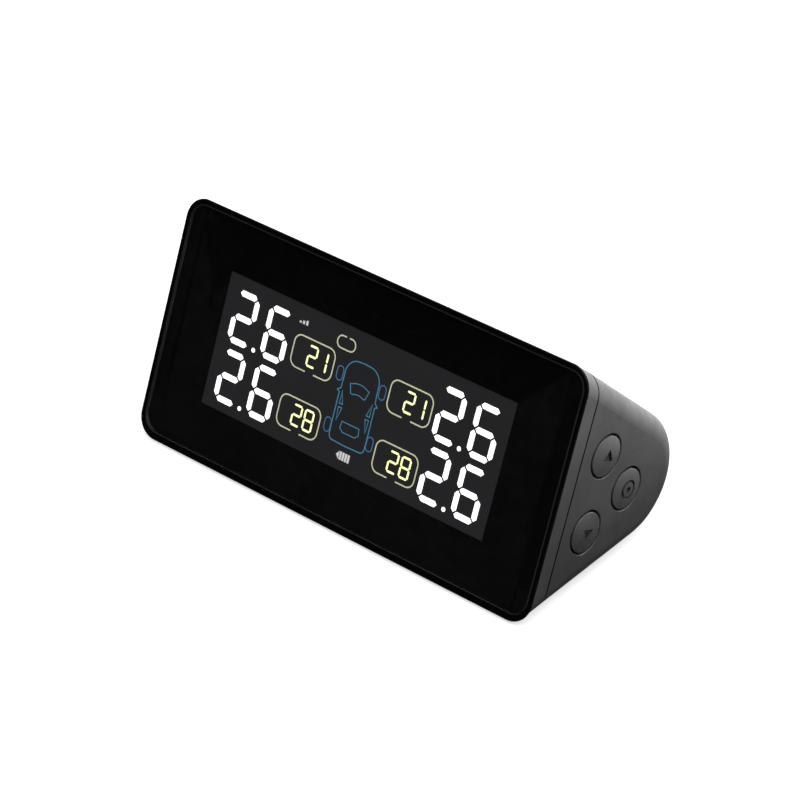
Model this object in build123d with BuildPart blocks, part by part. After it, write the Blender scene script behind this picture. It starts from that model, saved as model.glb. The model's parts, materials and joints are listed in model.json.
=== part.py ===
"""Solar dash-top display for a tyre pressure monitoring system, in millimetres.

Frame: +Z up, +X to the display's right, +Y towards its back. The origin is the centre
of the rubber base pad's underside. The display panel leans back by PANEL_TILT, so most
sketches are drawn on planes that lean with it: across is X, rise goes up the panel and
depth goes into the body at right angles to the panel.
"""

import os
from math import cos, radians, sin, tan

from build123d import *

os.makedirs("parts", exist_ok=True)

# Case
PANEL_TILT = 25.5
TOP_SLOPE = 22.0
NOSE_R = 13.1
BASE_RISE = -24.65  # rise of the underside where it meets the panel plane
TOP_RISE = 24.35  # rise of the top face where it meets the panel plane
BODY_W = 97.6
CORNER_R = 4.0
WALL = 2.0
SEAM_DEPTH = 4.1
SEAM_GAP = 0.18
SEAM_CHAMFER = 0.2
ROOT = 0.5  # how far posts and cuts run past the face they start from
SAME = 1e-4  # two positions closer than this count as the same one
FIT = 0.05

# Front panel
LIP_W, LIP_H, LIP_R, LIP_T = 98.2, 48.8, 4.5, 0.4
LIP_CENTRE = (0, -0.25)
LIP_EDGE_R = 0.3
LIP_OVERHANG = 0.1
SKIRT_R = 4.2
COVER_W, COVER_H, COVER_R = 96.6, 46.6, 3.6
COVER_FRONT, COVER_BACK, COVER_SEAT = 0.25, 1.05, 1.2
COVER_CHAMFER = 0.45
MASK_INSET = 0.2
WINDOW_W, WINDOW_H = 70.6, 26.6
WINDOW_CENTRE = (-0.6, -0.35)
FLOOR_BACK = 2.7

# Display cell, front to back
CELL_W, CELL_H = 77.0, 32.4
CELL_LEDGE = 2.3
CELL_FRONT = 1.25
POLARISER_T = 0.2
POLARISER_SIDE, POLARISER_END = 1.0, 0.5
GLASS_T = 1.0
GUIDE_T = 2.4
TRAY_BACK = 8.15

# Circuit boards
BOARD_FRONT, BOARD_T = 8.2, 1.2
BOARD_HALF_W, BOARD_HALF_H, BOARD_R = 43.6, 16.5, 1.0
BOARD_EDGE_AT_BUTTONS = 37.4
POST_X, POST_RISE, POST_R = 41.3, 14.0, 1.8
SWITCH_BOARD_IN, SWITCH_BOARD_T = 38.0, 1.6

# Screws
SCREW_R, SCREW_HEAD_R, SCREW_HEAD_T, SCREW_HEAD_EDGE = 0.8, 1.5, 0.9, 0.3
CROSS_L, CROSS_W, CROSS_DEPTH = 1.6, 0.35, 0.45
PILOT_R, CLEARANCE_R = 0.82, 1.0
BOARD_SCREW_L, GUIDE_SCREW_L = 5.0, 9.0

# Buttons in the right side wall, given as (depth, rise) of each centre
BUTTONS = {"up": (11.6, 7.35), "set": (20.9, 0.25), "down": (11.6, -7.35)}
BUTTON_HOLE_R, BUTTON_R, FLANGE_R, STEM_R = 4.35, 3.95, 4.9, 1.5
BUTTON_TRAVEL = 0.5
BUTTON_PROUD, RIM_PROUD, RIM_EDGE_R = 0.6, 0.05, 0.15
SYMBOL_SINK = 0.4
GUIDE_POSTS = ((11.6, 0.0), (28.2, 0.8))

# Base pad, battery and solar panel
PAD_W, PAD_L, PAD_T, PAD_PROUD = 82.0, 22.0, 1.2, 0.6
PAD_BACK_OF_PANEL = 7.5
BATTERY_W, BATTERY_L, BATTERY_T = 46.0, 15.5, 6.0
SOLAR_W, SOLAR_L, SOLAR_RECESS = 78.0, 19.0, 1.2

# Frame of the leaning panel
ACROSS = Vector(1, 0, 0)
RISE = Vector(0, sin(radians(PANEL_TILT)), cos(radians(PANEL_TILT)))
DEPTH = Vector(0, cos(radians(PANEL_TILT)), -sin(radians(PANEL_TILT)))
PANEL_CENTRE = Vector(0, -PAD_BACK_OF_PANEL, PAD_PROUD - BASE_RISE * cos(radians(PANEL_TILT)))
BASE_TAN, BASE_COS = tan(radians(PANEL_TILT)), cos(radians(PANEL_TILT))
TOP_TAN, TOP_COS = tan(radians(TOP_SLOPE)), cos(radians(TOP_SLOPE))
NOSE_DEPTH = (TOP_RISE - BASE_RISE - NOSE_R * (1 / BASE_COS + 1 / TOP_COS)) / (BASE_TAN + TOP_TAN)
NOSE_RISE = BASE_RISE + NOSE_DEPTH * BASE_TAN + NOSE_R / BASE_COS


def at_depth(depth):
    """Sketch plane parallel to the panel: local x is across, local y is rise."""
    return Plane(PANEL_CENTRE + DEPTH * depth, x_dir=ACROSS, z_dir=DEPTH * -1)


def at_side(across):
    """Sketch plane parallel to the side walls: local x is depth, local y is rise."""
    return Plane(PANEL_CENTRE + ACROSS * across, x_dir=DEPTH, z_dir=ACROSS)


def on_top(depth, outset):
    """Sketch plane parallel to the sloping top face, outset from it."""
    normal = DEPTH * sin(radians(TOP_SLOPE)) + RISE * TOP_COS
    origin = PANEL_CENTRE + DEPTH * depth + RISE * top_rise(depth) + normal * outset
    return Plane(origin, x_dir=ACROSS, z_dir=normal)


def point(across, rise, depth):
    """A place in the case, measured in the leaning panel's frame."""
    return PANEL_CENTRE + ACROSS * across + RISE * rise + DEPTH * depth


def depth_of(shape):
    """How far behind the panel plane the centre of a shape lies."""
    return (shape.center() - PANEL_CENTRE).dot(DEPTH)


def base_rise(depth, inset=0.0):
    """Rise of the underside at a depth, raised by an inset square to it."""
    return BASE_RISE + depth * BASE_TAN + inset / BASE_COS


def top_rise(depth, inset=0.0):
    """Rise of the sloping top at a depth, lowered by an inset square to it."""
    return TOP_RISE - depth * TOP_TAN - inset / TOP_COS


def body_block(front, back=None, inset=0.0, eased=None):
    """The case's outer form shrunk by inset, from depth front to depth back or the nose.

    The rim at depth eased, if given, gets the small chamfer that shows as the seam.
    """
    half = BODY_W / 2 - inset
    radius = NOSE_R - inset
    base_angle, top_angle = radians(PANEL_TILT), radians(TOP_SLOPE)
    low_tangent = (NOSE_DEPTH + radius * sin(base_angle), NOSE_RISE - radius * cos(base_angle))
    high_tangent = (NOSE_DEPTH + radius * sin(top_angle), NOSE_RISE + radius * cos(top_angle))
    tip = (NOSE_DEPTH + radius, NOSE_RISE)
    low_front = (front, base_rise(front, inset))
    high_front = (front, top_rise(front, inset))
    with BuildPart() as block:
        with BuildSketch(at_side(0)):
            with BuildLine():
                Line(low_front, low_tangent)
                ThreePointArc(low_tangent, tip, high_tangent)
                Line(high_tangent, high_front)
                Line(high_front, low_front)
            make_face()
        extrude(amount=half, both=True)
        rims = block.edges().filter_by(
            lambda edge: abs(abs(edge.center().X) - half) < SAME and depth_of(edge) > front + SAME
        )
        fillet(rims, CORNER_R - inset)
        if back is not None:
            split(bisect_by=at_depth(back), keep=Keep.TOP)
        if eased is not None:
            chamfer(block.edges().filter_by(lambda edge: abs(depth_of(edge) - eased) < SAME), SEAM_CHAMFER)
    return block.part


def plate(plane, width, height, thickness, corner=0.0, centre=(0, 0)):
    """A flat sheet whose front lies in the plane and whose thickness goes behind it."""
    with BuildPart() as sheet:
        with BuildSketch(plane):
            with Locations(centre):
                if corner:
                    RectangleRounded(width, height, corner)
                else:
                    Rectangle(width, height)
        extrude(amount=-thickness)
    return sheet.part


def cross_head_screws(seat, places, length):
    """Screws with heads behind the seat plane and shanks running in front of it."""
    with BuildPart() as screws:
        with BuildSketch(seat):
            with Locations(*places):
                Circle(SCREW_HEAD_R)
        extrude(amount=-SCREW_HEAD_T)
        fillet(screws.faces().group_by(Axis(seat.origin, seat.z_dir))[0].edges(), SCREW_HEAD_EDGE)
        with BuildSketch(seat):
            with Locations(*places):
                Circle(SCREW_R)
        extrude(amount=length)
        with BuildSketch(seat.offset(-SCREW_HEAD_T)):
            with Locations(*places):
                Rectangle(CROSS_L, CROSS_W)
                Rectangle(CROSS_W, CROSS_L)
        extrude(amount=CROSS_DEPTH, mode=Mode.SUBTRACT)
    return screws.part


def outermost(builder, direction=DEPTH):
    """The builder's face that lies furthest along a direction."""
    return builder.faces().sort_by(Axis(PANEL_CENTRE, direction))[-1]


def save(builder, name):
    """Label the piece and write its STEP file."""
    builder.part.label = name
    export_step(builder.part, f"parts/{name}.step")


# ---------------------------------------------------------------- front panel

with BuildPart() as front_cover:
    add(plate(at_depth(COVER_FRONT), COVER_W, COVER_H, COVER_BACK - COVER_FRONT, COVER_R))
    chamfer(outermost(front_cover, DEPTH * -1).edges(), COVER_CHAMFER)
save(front_cover, "front_cover")

with BuildPart() as cover_mask_tape:
    with BuildSketch(at_depth(COVER_BACK)):
        RectangleRounded(COVER_W - 2 * MASK_INSET, COVER_H - 2 * MASK_INSET, COVER_R - MASK_INSET)
        with Locations(WINDOW_CENTRE):
            Rectangle(WINDOW_W, WINDOW_H, mode=Mode.SUBTRACT)
    extrude(amount=-(COVER_SEAT - COVER_BACK))
save(cover_mask_tape, "cover_mask_tape")

CATCH_X, CATCH_W, CATCH_DEPTH, CATCH_T = 26.0, 8.0, 5.3, 0.9
CATCH_REACH = 0.5
TONGUE_BACK, TONGUE_T = 6.6, 1.2
CELL_POCKET_FIT, CELL_POCKET_R = 0.3, 0.8
PILOT_DEPTH = 4.5


def catch_blocks(grow):
    """Four snap catches, or their pockets when grown by a clearance."""
    rises = (top_rise(CATCH_DEPTH, WALL), base_rise(CATCH_DEPTH, WALL))
    with BuildPart() as catches:
        with BuildSketch(at_depth(CATCH_DEPTH - CATCH_T / 2 - grow)):
            with Locations(*[(side * CATCH_X, rise) for side in (-1, 1) for rise in rises]):
                Rectangle(CATCH_W + 2 * grow, 2 * (CATCH_REACH + grow))
        extrude(amount=-(CATCH_T + 2 * grow))
    return catches.part


with BuildPart() as front_bezel:
    add(plate(at_depth(0), LIP_W, LIP_H, LIP_T, LIP_R, LIP_CENTRE))
    fillet(outermost(front_bezel, DEPTH * -1).edges(), LIP_EDGE_R)
    # Skirt from behind the lip down to the rear housing's rim
    skirt_ends = (
        (LIP_T, base_rise(LIP_T), LIP_CENTRE[1] + LIP_H / 2 - LIP_OVERHANG),
        (SEAM_DEPTH, base_rise(SEAM_DEPTH), top_rise(SEAM_DEPTH)),
    )
    for depth, low, high in skirt_ends:
        with BuildSketch(at_depth(depth)):
            with Locations((0, (low + high) / 2)):
                RectangleRounded(BODY_W, high - low, SKIRT_R)
    loft()
    with BuildSketch(at_depth(0)):
        RectangleRounded(COVER_W + 2 * FIT, COVER_H + 2 * FIT, COVER_R + FIT)
    extrude(amount=-COVER_SEAT, mode=Mode.SUBTRACT)
    add(body_block(FLOOR_BACK, inset=WALL), mode=Mode.SUBTRACT)
    with BuildSketch(at_depth(0)):
        RectangleRounded(CELL_W + 2 * CELL_POCKET_FIT, CELL_H + 2 * CELL_POCKET_FIT, CELL_POCKET_R)
    extrude(amount=-FLOOR_BACK, mode=Mode.SUBTRACT)
    # Tongue that slides inside the rear housing, with its four catches
    add(body_block(FLOOR_BACK, TONGUE_BACK, inset=WALL + FIT))
    add(body_block(FLOOR_BACK, inset=WALL + FIT + TONGUE_T), mode=Mode.SUBTRACT)
    add(catch_blocks(0.0))
    add(body_block(FLOOR_BACK, inset=WALL + FIT + TONGUE_T), mode=Mode.SUBTRACT)
    # Posts that carry the main board
    post_places = [(x * POST_X, y * POST_RISE) for x in (-1, 1) for y in (-1, 1)]
    with BuildSketch(at_depth(BOARD_FRONT)):
        with Locations(*post_places):
            Circle(POST_R)
    extrude(amount=BOARD_FRONT - FLOOR_BACK + ROOT)
    with BuildSketch(at_depth(BOARD_FRONT)):
        with Locations(*post_places):
            Circle(PILOT_R)
    extrude(amount=PILOT_DEPTH, mode=Mode.SUBTRACT)
save(front_bezel, "front_bezel")

# ---------------------------------------------------------------- display cell

REAR_GLASS_H = CELL_H - CELL_LEDGE
REAR_GLASS_RISE = CELL_LEDGE / 2
POLARISER_W = CELL_W - 2 * POLARISER_SIDE
cell_depths = [CELL_FRONT]
for layer_t in (POLARISER_T, GLASS_T, GLASS_T, POLARISER_T):
    cell_depths.append(cell_depths[-1] + layer_t)

with BuildPart() as lcd_front_polariser:
    add(plate(at_depth(cell_depths[0]), POLARISER_W, CELL_H - 2 * POLARISER_END, POLARISER_T))
save(lcd_front_polariser, "lcd_front_polariser")

with BuildPart() as lcd_front_glass:
    add(plate(at_depth(cell_depths[1]), CELL_W, CELL_H, GLASS_T))
save(lcd_front_glass, "lcd_front_glass")

with BuildPart() as lcd_rear_glass:
    add(plate(at_depth(cell_depths[2]), CELL_W, REAR_GLASS_H, GLASS_T, centre=(0, REAR_GLASS_RISE)))
save(lcd_rear_glass, "lcd_rear_glass")

with BuildPart() as lcd_rear_polariser:
    rear_size = (POLARISER_W, REAR_GLASS_H - 2 * POLARISER_END)
    add(plate(at_depth(cell_depths[3]), *rear_size, POLARISER_T, centre=(0, REAR_GLASS_RISE)))
save(lcd_rear_polariser, "lcd_rear_polariser")

STRIP_W, STRIP_H, STRIP_MARGIN = 66.0, 1.8, 0.1
strip_front = cell_depths[2]
strip_rise = -CELL_H / 2 + STRIP_MARGIN + STRIP_H / 2
with BuildPart() as lcd_contact_strip:
    add(plate(at_depth(strip_front), STRIP_W, STRIP_H, BOARD_FRONT - strip_front, centre=(0, strip_rise)))
save(lcd_contact_strip, "lcd_contact_strip")

TRAY_HALF_W, TRAY_LOW, TRAY_HIGH, TRAY_R = 38.9, -14.1, 16.4, 0.6
TRAY_RIM = 0.7
TRAY_WINDOW_W, TRAY_WINDOW_H, TRAY_WINDOW_R = 16.0, 8.0, 1.0
TRAY_WINDOW_PITCH_X, TRAY_WINDOW_PITCH_Y = 24.0, 14.0
SHEET_GAP, SHEET_MARGIN = 0.05, 0.1
REFLECTOR_T = 0.2
LED_SPACE, LED_T, LED_W, LED_L, LED_PITCH = 1.9, 1.4, 1.8, 3.5, 9.0
tray_front = cell_depths[4] + SHEET_GAP
tray_rise = (TRAY_LOW + TRAY_HIGH) / 2
tray_in_w = 2 * (TRAY_HALF_W - TRAY_RIM)
tray_in_h = TRAY_HIGH - TRAY_LOW - 2 * TRAY_RIM
guide_front = tray_front + SHEET_GAP
reflector_front = guide_front + GUIDE_T + SHEET_GAP
tray_floor = reflector_front + REFLECTOR_T + SHEET_GAP

with BuildPart() as backlight_frame:
    with BuildSketch(at_depth(tray_front)):
        with Locations((0, tray_rise)):
            RectangleRounded(2 * TRAY_HALF_W, TRAY_HIGH - TRAY_LOW, TRAY_R)
    extrude(amount=-(TRAY_BACK - tray_front))
    with BuildSketch(at_depth(tray_front)):
        with Locations((0, tray_rise)):
            Rectangle(tray_in_w, tray_in_h)
    extrude(amount=-(tray_floor - tray_front), mode=Mode.SUBTRACT)
    with BuildSketch(at_depth(tray_floor)):
        with GridLocations(TRAY_WINDOW_PITCH_X, TRAY_WINDOW_PITCH_Y, 3, 2):
            RectangleRounded(TRAY_WINDOW_W, TRAY_WINDOW_H, TRAY_WINDOW_R)
    extrude(amount=-(TRAY_BACK - tray_floor), mode=Mode.SUBTRACT)
save(backlight_frame, "backlight_frame")

sheet_size = (tray_in_w - LED_SPACE - 2 * SHEET_MARGIN, tray_in_h - 2 * SHEET_MARGIN)
sheet_centre = (LED_SPACE / 2, tray_rise)
with BuildPart() as light_guide:
    add(plate(at_depth(guide_front), *sheet_size, GUIDE_T, centre=sheet_centre))
save(light_guide, "light_guide")

with BuildPart() as reflector_sheet:
    add(plate(at_depth(reflector_front), *sheet_size, REFLECTOR_T, centre=sheet_centre))
save(reflector_sheet, "reflector_sheet")

with BuildPart() as backlight_leds:
    with BuildSketch(at_side(-tray_in_w / 2 + SHEET_GAP)):
        with Locations((guide_front + GUIDE_T / 2, tray_rise)):
            with GridLocations(0, LED_PITCH, 1, 3):
                Rectangle(LED_W, LED_L)
    extrude(amount=LED_T)
save(backlight_leds, "backlight_leds")

# ---------------------------------------------------------------- main board

BOARD_BACK = BOARD_FRONT + BOARD_T
NOTCH_HALF_H = 11.6

with BuildPart() as main_board:
    with BuildSketch(at_depth(BOARD_FRONT)):
        RectangleRounded(2 * BOARD_HALF_W, 2 * BOARD_HALF_H, BOARD_R)
        with Locations((BOARD_HALF_W, 0)):
            Rectangle(2 * (BOARD_HALF_W - BOARD_EDGE_AT_BUTTONS), 2 * NOTCH_HALF_H, mode=Mode.SUBTRACT)
        with Locations(*post_places):
            Circle(CLEARANCE_R, mode=Mode.SUBTRACT)
    extrude(amount=-BOARD_T)
save(main_board, "main_board")

with BuildPart() as board_screws:
    add(cross_head_screws(at_depth(BOARD_BACK), post_places, BOARD_SCREW_L))
save(board_screws, "board_screws")


def on_board(across, rise, height=0.0):
    """Plane facing away from the panel, at a height above the back of the main board."""
    return Plane(point(across, rise, BOARD_BACK + height), x_dir=ACROSS * -1, z_dir=DEPTH)


CONTROLLER_AT = (-2.0, 1.0)
CONTROLLER_SIDE, CONTROLLER_T, CONTROLLER_EDGE, CONTROLLER_STANDOFF = 10.0, 1.3, 0.2, 0.1
LEAD_PITCH, LEAD_COUNT, LEAD_SPAN, LEAD_W, LEAD_T = 0.8, 11, 12.0, 0.35, 0.25
with BuildPart() as controller_chip:
    with BuildSketch(on_board(*CONTROLLER_AT, CONTROLLER_STANDOFF)):
        Rectangle(CONTROLLER_SIDE, CONTROLLER_SIDE)
    extrude(amount=CONTROLLER_T)
    chamfer(outermost(controller_chip).edges(), CONTROLLER_EDGE)
    with BuildSketch(on_board(*CONTROLLER_AT)):
        with GridLocations(LEAD_PITCH, 0, LEAD_COUNT, 1):
            Rectangle(LEAD_W, LEAD_SPAN)
        with GridLocations(0, LEAD_PITCH, 1, LEAD_COUNT):
            Rectangle(LEAD_SPAN, LEAD_W)
    extrude(amount=LEAD_T)
save(controller_chip, "controller_chip")

# Small chips: place on the board, then width, height, thickness and softened edge
SMALL_CHIPS = {
    "receiver_chip": ((-16.0, 3.0), 5.0, 5.0, 0.9, 0.1),
    "charge_chip": ((-25.0, 3.0), 5.0, 4.0, 1.4, 0.2),
}
for chip_name, (place, width, height, thickness, edge) in SMALL_CHIPS.items():
    with BuildPart() as small_chip:
        with BuildSketch(on_board(*place)):
            Rectangle(width, height)
        extrude(amount=thickness)
        chamfer(outermost(small_chip).edges(), edge)
    save(small_chip, chip_name)

CRYSTAL_AT = (-16.0, -7.0)
CRYSTAL_L, CRYSTAL_W, CRYSTAL_H, CRYSTAL_EDGE = 10.2, 3.8, 3.5, 0.4
CRYSTAL_RIM, CRYSTAL_RIM_T = 0.4, 0.5
with BuildPart() as crystal_can:
    with BuildSketch(on_board(*CRYSTAL_AT)):
        SlotOverall(CRYSTAL_L + 2 * CRYSTAL_RIM, CRYSTAL_W + 2 * CRYSTAL_RIM)
    extrude(amount=CRYSTAL_RIM_T)
    with BuildSketch(on_board(*CRYSTAL_AT)):
        SlotOverall(CRYSTAL_L, CRYSTAL_W)
    extrude(amount=CRYSTAL_H)
    fillet(outermost(crystal_can).edges(), CRYSTAL_EDGE)
save(crystal_can, "crystal_can")

PASSIVE_L, PASSIVE_W, PASSIVE_T = 1.6, 0.8, 0.7
PASSIVE_GRID_AT, PASSIVE_PITCH_X, PASSIVE_PITCH_Y = (8.5, 3.0), 3.2, 4.0
PASSIVE_ROW_AT, PASSIVE_ROW_PITCH = (-16.0, 8.6), 3.0
with BuildPart() as chip_passives:
    with BuildSketch(on_board(*PASSIVE_GRID_AT)):
        with GridLocations(PASSIVE_PITCH_X, PASSIVE_PITCH_Y, 3, 4):
            Rectangle(PASSIVE_L, PASSIVE_W)
    extrude(amount=PASSIVE_T)
    with BuildSketch(on_board(*PASSIVE_ROW_AT)):
        with GridLocations(PASSIVE_ROW_PITCH, 0, 4, 1):
            Rectangle(PASSIVE_W, PASSIVE_L)
    extrude(amount=PASSIVE_T)
save(chip_passives, "chip_passives")

COIL_START, COIL_LIFT = (-30.0, 12.0), 0.3
COIL_R, COIL_PITCH, COIL_TURNS, COIL_WIRE_R = 2.1, 2.2, 7, 0.35
with BuildPart() as antenna_coil:
    coil_centre = point(*COIL_START, BOARD_BACK + COIL_LIFT + COIL_WIRE_R + COIL_R)
    with BuildLine() as coil_path:
        Helix(COIL_PITCH, COIL_PITCH * COIL_TURNS, COIL_R, center=coil_centre, direction=ACROSS)
    with BuildSketch(Plane(coil_path.line @ 0, z_dir=coil_path.line % 0)):
        Circle(COIL_WIRE_R)
    sweep(path=coil_path.line, is_frenet=True)
save(antenna_coil, "antenna_coil")

BUZZER_AT = (26.0, -5.0)
BUZZER_R, BUZZER_H, BUZZER_EDGE = 4.8, 4.2, 0.5
BUZZER_PORT_R, BUZZER_PORT_DEPTH = 1.0, 1.6
with BuildPart() as buzzer:
    with BuildSketch(on_board(*BUZZER_AT)):
        Circle(BUZZER_R)
    extrude(amount=BUZZER_H)
    fillet(outermost(buzzer).edges(), BUZZER_EDGE)
    with BuildSketch(on_board(*BUZZER_AT, BUZZER_H)):
        Circle(BUZZER_PORT_R)
    extrude(amount=-BUZZER_PORT_DEPTH, mode=Mode.SUBTRACT)
save(buzzer, "buzzer")

SENSOR_X, SENSOR_RISE = 19.0, 11.5
SENSOR_R, SENSOR_L, SENSOR_EDGE = 1.6, 7.5, 0.3
with BuildPart() as vibration_sensor:
    with BuildSketch(at_side(SENSOR_X)):
        with Locations((BOARD_BACK + SENSOR_R, SENSOR_RISE)):
            Circle(SENSOR_R)
    extrude(amount=SENSOR_L)
    fillet(vibration_sensor.edges().filter_by(GeomType.CIRCLE), SENSOR_EDGE)
save(vibration_sensor, "vibration_sensor")

USB_RISE, USB_INSET = 1.5, 0.3
USB_W, USB_T, USB_R, USB_LENGTH = 7.5, 2.6, 0.5, 5.6
USB_SHELL, USB_FLOOR = 0.3, 0.8
USB_TONGUE_T, USB_TONGUE_W = 0.6, 4.9
usb_depth = BOARD_BACK + USB_T / 2
usb_mouth = -BODY_W / 2 + WALL + USB_INSET

with BuildPart() as usb_socket:
    with BuildSketch(at_side(usb_mouth)):
        with Locations((usb_depth, USB_RISE)):
            RectangleRounded(USB_T, USB_W, USB_R)
    extrude(amount=USB_LENGTH)
    with BuildSketch(at_side(usb_mouth)):
        with Locations((usb_depth, USB_RISE)):
            RectangleRounded(USB_T - 2 * USB_SHELL, USB_W - 2 * USB_SHELL, USB_R - USB_SHELL / 2)
            Rectangle(USB_TONGUE_T, USB_TONGUE_W, mode=Mode.SUBTRACT)
    extrude(amount=USB_LENGTH - USB_FLOOR, mode=Mode.SUBTRACT)
save(usb_socket, "usb_socket")

CONNECTOR_AT = (-32.0, -9.0)
CONNECTOR_W, CONNECTOR_L, CONNECTOR_H = 6.5, 4.5, 4.0
SOCKET_W, SOCKET_L, SOCKET_DEPTH, SOCKET_RISE = 5.3, 2.6, 3.0, 0.5
with BuildPart() as battery_connector:
    with BuildSketch(on_board(*CONNECTOR_AT)):
        Rectangle(CONNECTOR_W, CONNECTOR_L)
    extrude(amount=CONNECTOR_H)
    with BuildSketch(on_board(*CONNECTOR_AT, CONNECTOR_H)):
        with Locations((0, SOCKET_RISE)):
            Rectangle(SOCKET_W, SOCKET_L)
    extrude(amount=-SOCKET_DEPTH, mode=Mode.SUBTRACT)
save(battery_connector, "battery_connector")

HEADER_X, HEADER_RISE, HEADER_T = 35.0, -6.0, 2.5
PIN_PITCH, PIN_COUNT, PIN_SIDE = 2.54, 4, 0.6
with BuildPart() as button_header:
    with BuildSketch(on_board(HEADER_X, HEADER_RISE)):
        Rectangle(HEADER_T, PIN_COUNT * PIN_PITCH)
    extrude(amount=HEADER_T)
    with BuildSketch(at_side(HEADER_X)):
        with Locations((BOARD_BACK + HEADER_T / 2, HEADER_RISE)):
            with GridLocations(0, PIN_PITCH, 1, PIN_COUNT):
                Rectangle(PIN_SIDE, PIN_SIDE)
    extrude(amount=SWITCH_BOARD_IN - HEADER_X)
save(button_header, "button_header")

# ---------------------------------------------------------------- rear housing

SIDE_INNER = BODY_W / 2 - WALL
GUIDE_PLATE_OUT, GUIDE_PLATE_T = 45.3, 1.2
GUIDE_BOSS_R, GUIDE_PILOT_IN_WALL = 2.0, 0.9
HOLE_EDGE_R = 0.15
CATCH_POCKET_FIT = 0.08
RECESS_FIT = 0.15
SOLAR_R, SOLAR_RECESS_R = 0.8, 1.0
WIRE_HOLE, WIRE_HOLE_R = (-33.0, -5.0), 1.6
PLUG_MARGIN, PLUG_R = 0.6, 0.9
PAD_R = 3.0
BATTERY_X, BATTERY_Y = -4.0, 9.0
RIB_T, RIB_L, RIB_H, RIB_PITCH, RIB_CLEARANCE = 1.2, 2.5, 5.0, 8.0, 2.5
RIB_ROOT = 0.3
BATTERY_TAPE_T = 0.8
solar_depth = (SEAM_DEPTH + NOSE_DEPTH + NOSE_R * sin(radians(TOP_SLOPE))) / 2
floor_z = PAD_PROUD + WALL

with BuildPart() as rear_housing:
    add(body_block(SEAM_DEPTH + SEAM_GAP, eased=SEAM_DEPTH + SEAM_GAP))
    add(body_block(SEAM_DEPTH - ROOT, inset=WALL), mode=Mode.SUBTRACT)
    add(catch_blocks(CATCH_POCKET_FIT), mode=Mode.SUBTRACT)
    # Button holes
    with BuildSketch(at_side(BODY_W / 2)):
        with Locations(*BUTTONS.values()):
            Circle(BUTTON_HOLE_R)
    extrude(amount=-WALL - ROOT, mode=Mode.SUBTRACT)
    hole_rims = rear_housing.edges().filter_by(GeomType.CIRCLE).filter_by(
        lambda edge: abs(edge.radius - BUTTON_HOLE_R) < SAME and abs(edge.center().X - BODY_W / 2) < SAME
    )
    fillet(hole_rims, HOLE_EDGE_R)
    # Bosses for the button guide
    with BuildSketch(at_side(GUIDE_PLATE_OUT)):
        with Locations(*GUIDE_POSTS):
            Circle(GUIDE_BOSS_R)
    extrude(amount=SIDE_INNER - GUIDE_PLATE_OUT + ROOT)
    with BuildSketch(at_side(GUIDE_PLATE_OUT)):
        with Locations(*GUIDE_POSTS):
            Circle(PILOT_R)
    extrude(amount=SIDE_INNER - GUIDE_PLATE_OUT + GUIDE_PILOT_IN_WALL, mode=Mode.SUBTRACT)
    # Recess and wire hole for the solar panel
    with BuildSketch(on_top(solar_depth, 0)):
        RectangleRounded(SOLAR_W + 2 * RECESS_FIT, SOLAR_L + 2 * RECESS_FIT, SOLAR_RECESS_R)
    extrude(amount=-SOLAR_RECESS, mode=Mode.SUBTRACT)
    with BuildSketch(on_top(solar_depth, 0)):
        with Locations(WIRE_HOLE):
            Circle(WIRE_HOLE_R)
    extrude(amount=-WALL - ROOT, mode=Mode.SUBTRACT)
    # Charging socket opening in the left wall
    with BuildSketch(at_side(-BODY_W / 2)):
        with Locations((usb_depth, USB_RISE)):
            RectangleRounded(USB_T + 2 * PLUG_MARGIN, USB_W + 2 * PLUG_MARGIN, PLUG_R)
    extrude(amount=WALL + ROOT, mode=Mode.SUBTRACT)
    # Recess for the base pad
    with BuildSketch(Plane.XY):
        RectangleRounded(PAD_W + 2 * RECESS_FIT, PAD_L + 2 * RECESS_FIT, PAD_R + RECESS_FIT)
    extrude(amount=PAD_T, mode=Mode.SUBTRACT)
    # Ribs at both ends of the battery
    with BuildSketch(Plane.XY.offset(floor_z - RIB_ROOT)):
        with Locations((BATTERY_X, BATTERY_Y)):
            with GridLocations(BATTERY_W + RIB_T + 2 * RIB_CLEARANCE, RIB_PITCH, 2, 2):
                Rectangle(RIB_T, RIB_L)
    extrude(amount=RIB_H)
save(rear_housing, "rear_housing")

PAD_CHAMFER = 0.2
with BuildPart() as base_pad:
    with BuildSketch(Plane.XY):
        RectangleRounded(PAD_W, PAD_L, PAD_R)
    extrude(amount=PAD_T)
    chamfer(base_pad.faces().sort_by(Axis.Z)[0].edges(), PAD_CHAMFER)
save(base_pad, "base_pad")

# ---------------------------------------------------------------- buttons

# Outline shared by the guide plate and the switch board, as (depth, rise) corners
SWITCH_OUTLINE = ((8.4, -11), (19, -10), (30.6, -4), (30.6, 5.6), (19, 11), (8.4, 11))
SWITCH_H, SWITCH_SIZE, SWITCH_CHAMFER = 3.5, 6.0, 0.5
PLUNGER_R, PLUNGER_PROUD, PLUNGER_LENGTH = 1.7, 0.8, 2.0
PLUNGER_WELL_SPARE = 0.2
BORE_CLEARANCE = 0.06
GUIDE_FOOT_R = 1.9
guide_plate_in = GUIDE_PLATE_OUT - GUIDE_PLATE_T
switch_board_out = SWITCH_BOARD_IN + SWITCH_BOARD_T
switch_top = switch_board_out + SWITCH_H
plunger_tip = switch_top + PLUNGER_PROUD

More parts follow.
